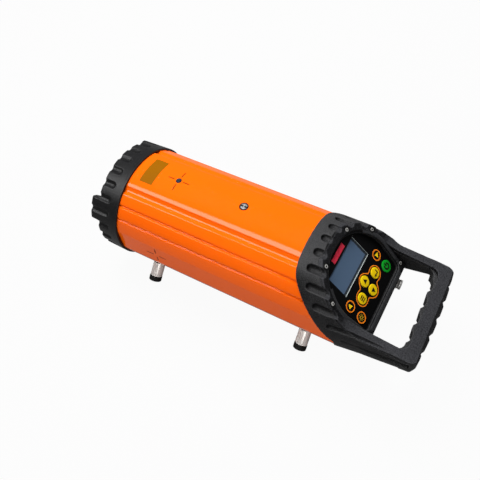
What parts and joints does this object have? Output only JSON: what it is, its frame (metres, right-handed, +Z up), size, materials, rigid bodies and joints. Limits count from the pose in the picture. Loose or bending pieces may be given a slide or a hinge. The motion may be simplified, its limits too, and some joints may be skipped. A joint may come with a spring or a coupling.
{
  "type": "pipe laser",
  "caption": "Tubular pipe-laying laser with splayed legs, a notched front ring, a sloping keypad panel with display, a carrying handle and an inner gimbal for line and grade.",
  "frame": {"origin": "bottom centre of the bounding box, on the plane under the feet", "axes": "+X runs along the tube to the handle, the beam leaves towards -X, +Z is up, +Y is the right side seen from behind the panel"},
  "size_m": [0.367, 0.13, 0.1272],
  "materials": {
    "orange_paint": "glossy orange paint on the extruded tube",
    "black_plastic": "textured black",
    "panel_plastic": "smooth black panel",
    "steel": "polished steel",
    "screw_steel": "bright screws",
    "aluminium": "machined aluminium",
    "rubber": "black rubber",
    "window_glass": "clear window",
    "lcd_glass": "blue-grey display",
    "red_plastic": "red filter strip",
    "key_orange": "black key with an orange ring",
    "key_green": "green key",
    "key_yellow": "yellow key",
    "brass": "brass gear",
    "board": "green circuit board",
    "cell": "wrapped cell"
  },
  "bodies": {
    "housing": {"housing_tube": "orange_paint", "front_ring": "black_plastic", "front_bulkhead": "aluminium", "front_seal": "rubber", "window_glass": "window_glass", "window_retainer": "aluminium", "retainer_screws": "screw_steel", "ring_screws": "screw_steel", "rear_cap": "black_plastic", "handle_plate": "black_plastic", "plate_screws": "screw_steel", "cap_screws": "screw_steel", "panel_plate": "panel_plastic", "panel_gasket": "rubber", "lcd_window": "lcd_glass", "lcd_module": "black_plastic", "remote_window": "red_plastic", "key_board": "board", "key_domes": "screw_steel", "key_board_screws": "screw_steel", "charge_connector": "steel", "connector_nut": "steel", "leg_posts": "steel", "leg_collars": "black_plastic", "leg_feet": "rubber", "leg_nuts": "steel", "pivot_screw": "screw_steel", "sight_screw": "screw_steel", "tie_rods": "steel", "rear_bulkhead": "aluminium", "gimbal_frame": "aluminium", "line_motor": "steel", "battery_tray": "black_plastic", "battery_cells": "cell", "main_board": "board", "board_screws": "screw_steel"},
    "yoke": {"yoke": "aluminium", "grade_motor": "steel"},
    "cradle": {"cradle": "aluminium", "level_vial": "window_glass", "collimator_lens": "window_glass", "laser_diode": "brass"},
    "line_pinion": {"line_pinion": "brass"},
    "grade_pinion": {"grade_pinion": "brass"},
    "key_left": {"key_left": "key_orange"},
    "key_right": {"key_right": "key_orange"},
    "key_power": {"key_power": "key_green"},
    "key_light": {"key_light": "key_orange"},
    "key_up": {"key_up": "key_yellow"},
    "key_down": {"key_down": "key_yellow"},
    "key_enter": {"key_enter": "key_yellow"},
    "key_set": {"key_set": "key_yellow"}
  },
  "joints": [
    {"name": "line_swing", "type": "hinge", "parent": "housing", "child": "yoke", "pos_m": [-0.0985, 0, 0.06505], "axis": [0, 0, 1], "range_deg": [-5, 5]},
    {"name": "grade_tilt", "type": "hinge", "parent": "yoke", "child": "cradle", "pos_m": [-0.0985, 0, 0.06505], "axis": [0, 1, 0], "range_deg": [-8.5, 14]},
    {"name": "line_pinion_spin", "type": "hinge", "parent": "housing", "child": "line_pinion", "pos_m": [-0.0585, 0, 0.02905], "axis": [0, 0, 1], "range_deg": [-28.4, 28.4]},
    {"name": "grade_pinion_spin", "type": "hinge", "parent": "yoke", "child": "grade_pinion", "pos_m": [-0.0585, 0.027, 0.06505], "axis": [0, 1, 0], "range_deg": [-79.4, 48.2]},
    {"name": "key_left_press", "type": "slide", "parent": "housing", "child": "key_left", "axis": [-0.7071, 0, -0.7071], "range_m": [0, 0.0007], "stiffness_N_per_m": 600},
    {"name": "key_right_press", "type": "slide", "parent": "housing", "child": "key_right", "axis": [-0.7071, 0, -0.7071], "range_m": [0, 0.0007], "stiffness_N_per_m": 600},
    {"name": "key_power_press", "type": "slide", "parent": "housing", "child": "key_power", "axis": [-0.7071, 0, -0.7071], "range_m": [0, 0.0007], "stiffness_N_per_m": 600},
    {"name": "key_light_press", "type": "slide", "parent": "housing", "child": "key_light", "axis": [-0.7071, 0, -0.7071], "range_m": [0, 0.0007], "stiffness_N_per_m": 600},
    {"name": "key_up_press", "type": "slide", "parent": "housing", "child": "key_up", "axis": [-0.7071, 0, -0.7071], "range_m": [0, 0.0007], "stiffness_N_per_m": 600},
    {"name": "key_down_press", "type": "slide", "parent": "housing", "child": "key_down", "axis": [-0.7071, 0, -0.7071], "range_m": [0, 0.0007], "stiffness_N_per_m": 600},
    {"name": "key_enter_press", "type": "slide", "parent": "housing", "child": "key_enter", "axis": [-0.7071, 0, -0.7071], "range_m": [0, 0.0007], "stiffness_N_per_m": 600},
    {"name": "key_set_press", "type": "slide", "parent": "housing", "child": "key_set", "axis": [-0.7071, 0, -0.7071], "range_m": [0, 0.0007], "stiffness_N_per_m": 600}
  ],
  "couplings": [
    {"joint": "line_pinion_spin", "follows": "line_swing", "ratio": -5.6667},
    {"joint": "grade_pinion_spin", "follows": "grade_tilt", "ratio": -5.6667}
  ]
}
